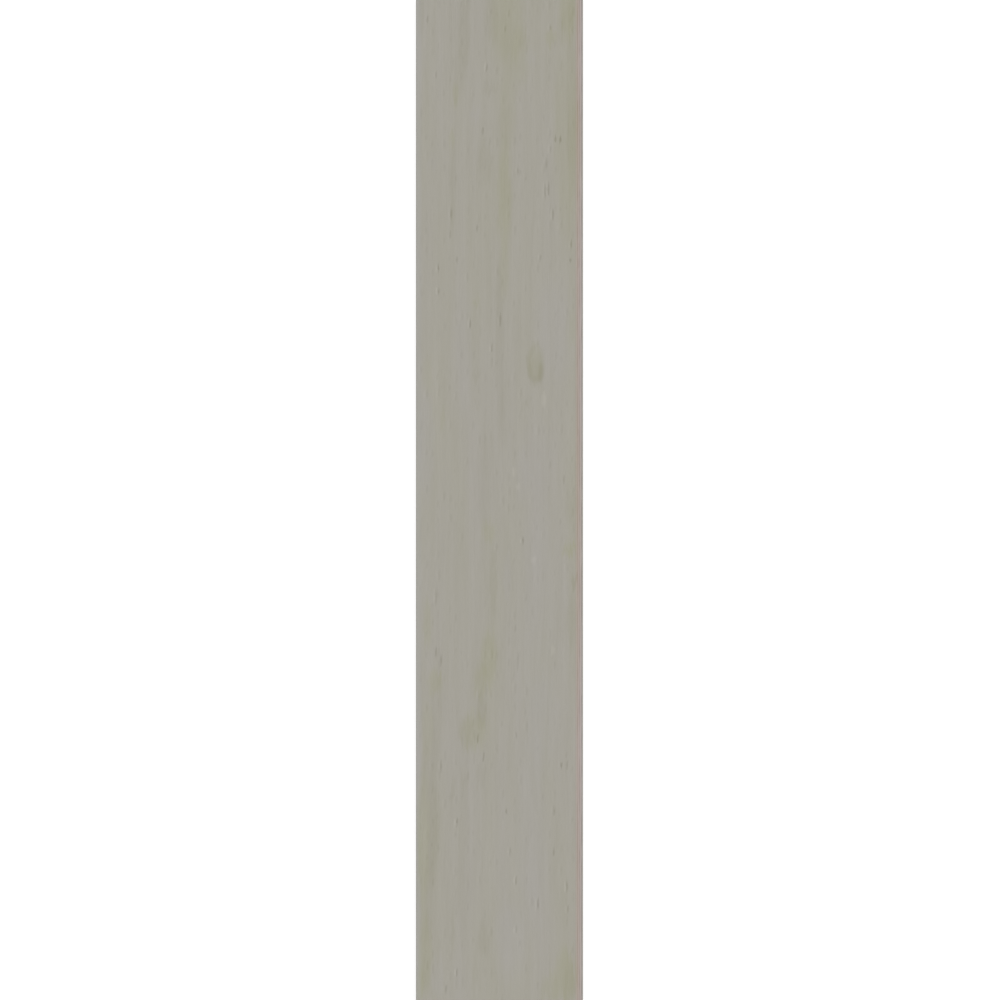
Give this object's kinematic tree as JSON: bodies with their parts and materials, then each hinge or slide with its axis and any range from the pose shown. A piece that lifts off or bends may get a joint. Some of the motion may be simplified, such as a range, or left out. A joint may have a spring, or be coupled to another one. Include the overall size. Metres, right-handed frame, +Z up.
{
  "type": "wood look porcelain plank tile",
  "caption": "Long flat rectangular floor and wall tile with wood grain on its face, finely bevelled square edges and a back of shallow cells that keys into mortar.",
  "frame": {"origin": "middle of the underside, on the plane of the back's ribs and rim", "axes": "+Z up out of the wood look face, Y along the plank, X across it"},
  "size_m": [0.2, 1.2, 0.009],
  "materials": {
    "fired_porcelain": "matte"
  },
  "bodies": {
    "root": {"plank_tile": "fired_porcelain"}
  },
  "joints": []
}
